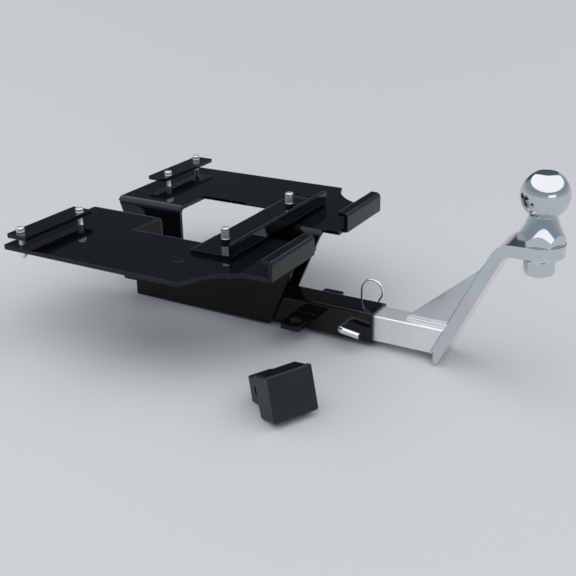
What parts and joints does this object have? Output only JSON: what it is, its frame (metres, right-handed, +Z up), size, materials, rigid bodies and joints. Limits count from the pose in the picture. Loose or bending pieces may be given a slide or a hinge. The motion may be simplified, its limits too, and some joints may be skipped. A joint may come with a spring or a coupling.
{
  "type": "receiver hitch frame with ball mount",
  "caption": "Clamp-on receiver hitch for a light vehicle: square receiver tube under two bent wing plates, with hooks, clamps, a pinned ball mount, hitch ball and a loose receiver cover.",
  "frame": {"origin": "centre of the hitch pin's hole on the receiver tube's axis", "axes": "+X along the tube towards the ball, +Z up, +Y to the side away from the pin's bent arm"},
  "size_m": [0.5968, 0.4197, 0.2283],
  "materials": {
    "gloss_black": "mirror-gloss black powder coat",
    "chrome": "bright chrome plate",
    "zinc": "bright zinc plate",
    "black_plastic": "satin black"
  },
  "bodies": {
    "frame": {"receiver_tube": "gloss_black", "near_bracket": "gloss_black", "far_bracket": "gloss_black", "near_hook": "gloss_black", "far_hook": "gloss_black", "near_chain_ear": "gloss_black", "far_chain_ear": "gloss_black", "near_clamp_nuts": "zinc", "far_clamp_nuts": "zinc", "rear_clamp_nuts": "zinc", "near_clamp_washers": "zinc", "far_clamp_washers": "zinc", "rear_clamp_washers": "zinc", "mount_shank": "chrome", "mount_riser": "chrome", "mount_gusset": "chrome", "hitch_ball": "chrome", "ball_lock_washer": "zinc", "ball_nut": "chrome"},
    "near_clamp": {"near_clamp_bar": "gloss_black", "near_clamp_screws": "zinc"},
    "far_clamp": {"far_clamp_bar": "gloss_black", "far_clamp_screws": "zinc"},
    "rear_clamp": {"rear_clamp_angle": "gloss_black", "rear_clamp_screws": "zinc", "rear_clamp_spacers": "black_plastic"},
    "pin": {"hitch_pin": "chrome"},
    "clip": {"hairpin_clip": "chrome"},
    "cover": {"receiver_cover": "black_plastic"}
  },
  "joints": [
    {"name": "near_clamp_slide", "type": "slide", "parent": "frame", "child": "near_clamp", "axis": [0, 0, -1], "range_m": [-0.003, 0.01]},
    {"name": "far_clamp_slide", "type": "slide", "parent": "frame", "child": "far_clamp", "axis": [0, 0, -1], "range_m": [-0.003, 0.01]},
    {"name": "rear_clamp_slide", "type": "slide", "parent": "frame", "child": "rear_clamp", "axis": [0, 0, -1], "range_m": [-0.003, 0]},
    {"name": "pin_turn", "type": "hinge", "parent": "frame", "child": "pin", "pos_m": [0, 0, 0], "axis": [0, 1, 0], "range_deg": [-45, 45]},
    {"name": "clip_pull", "type": "slide", "parent": "pin", "child": "clip", "axis": [0, 0, 1], "range_m": [0, 0.03]},
    {"name": "cover_lift", "type": "slide", "parent": "frame", "child": "cover", "axis": [0, 0, 1], "range_m": [0, 0.05]}
  ]
}
